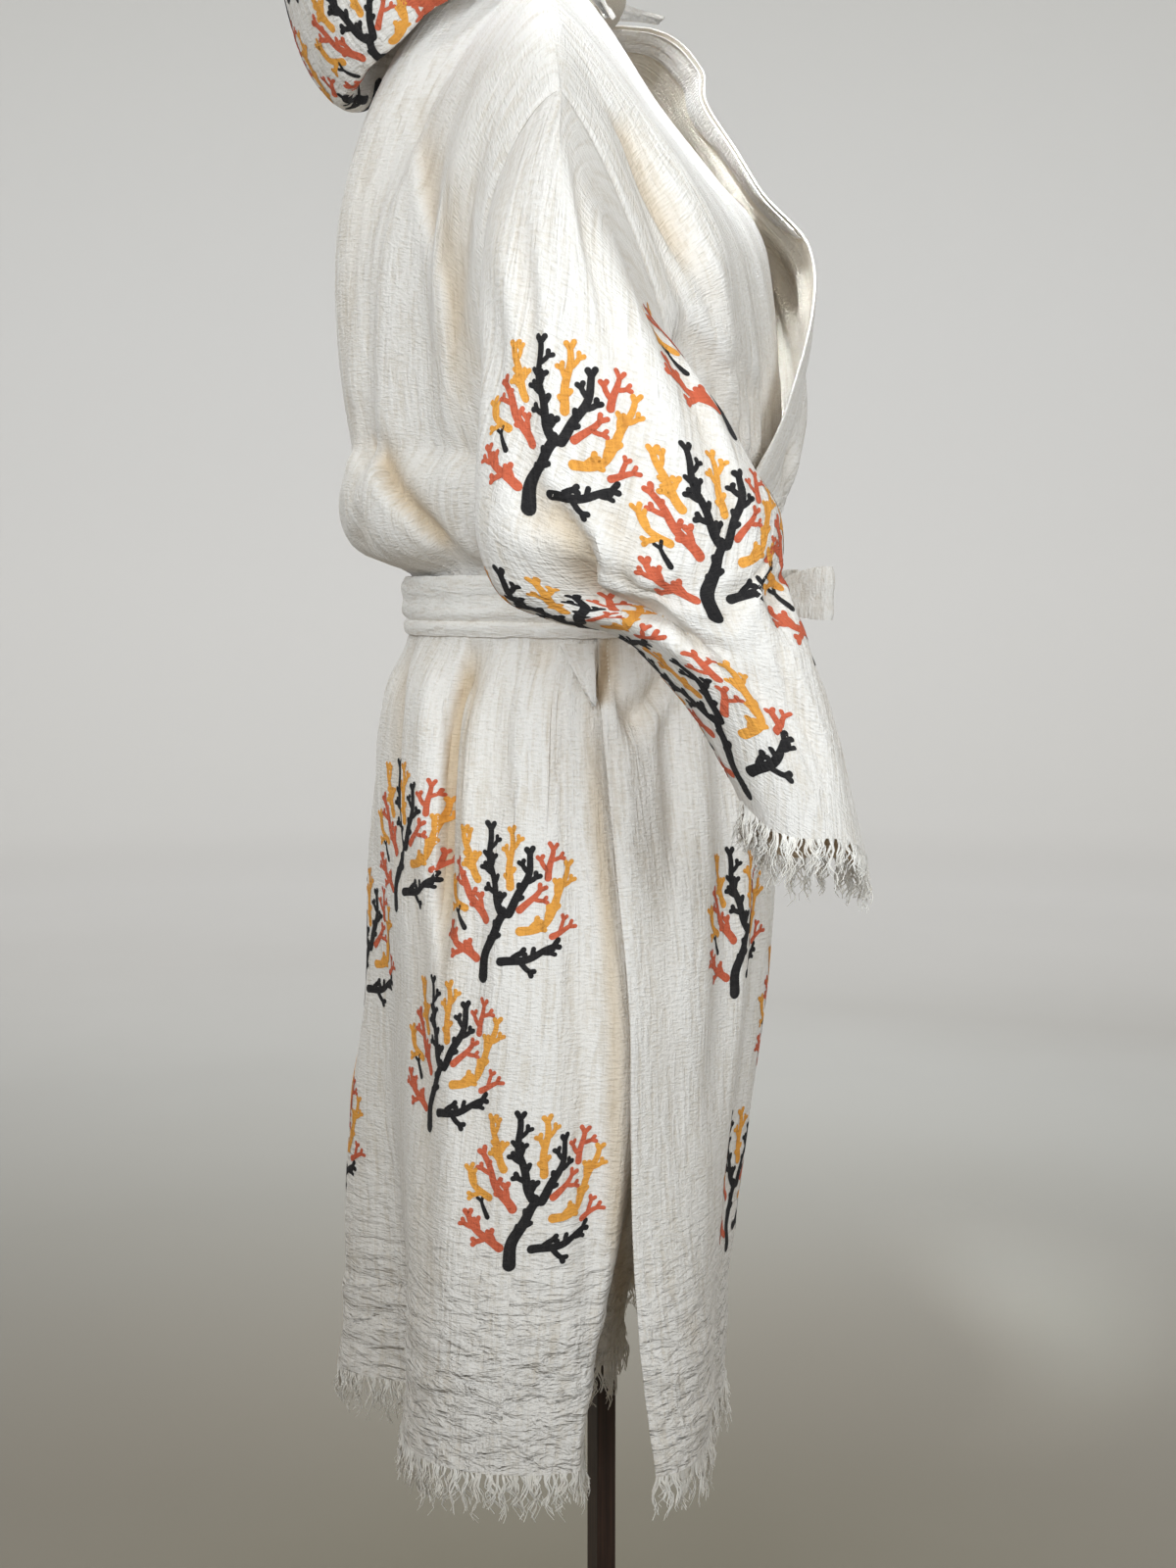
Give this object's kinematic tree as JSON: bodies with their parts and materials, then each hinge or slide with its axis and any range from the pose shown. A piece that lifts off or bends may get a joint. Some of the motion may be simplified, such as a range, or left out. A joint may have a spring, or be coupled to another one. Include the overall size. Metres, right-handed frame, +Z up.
{
  "type": "kimono robe on dress form",
  "caption": "Hooded kimono robe of crinkled cotton muslin with fringed hems and cuffs and a self-fabric belt tied in a bow, worn by a limbless dress form on a square post.",
  "frame": {"origin": "under the middle of the round base, on the axis of the post", "axes": "+Z up, -Y towards the front of the robe, +X towards its wearer's left"},
  "size_m": [0.726, 0.4185, 1.4918],
  "materials": {
    "muslin": "matte crinkled cotton double gauze, natural white with printed branches in black, ochre and rust",
    "form_cover": "matte stretched linen jersey",
    "lacquered_wood": "satin dark brown lacquer"
  },
  "bodies": {
    "root": {"back": "muslin", "front_right": "muslin", "front_left": "muslin", "sleeve_right": "muslin", "sleeve_left": "muslin", "hood": "muslin", "belt": "muslin", "fringe_back": "muslin", "fringe_front_right": "muslin", "fringe_front_left": "muslin", "fringe_cuff_right": "muslin", "fringe_cuff_left": "muslin", "facing_left": "muslin", "edge_fold": "muslin", "belt_knot": "muslin", "belt_loop_right": "muslin", "belt_loop_left": "muslin", "belt_end_right": "muslin", "belt_end_left": "muslin", "form_torso": "form_cover", "post": "lacquered_wood", "base": "lacquered_wood"}
  },
  "joints": []
}
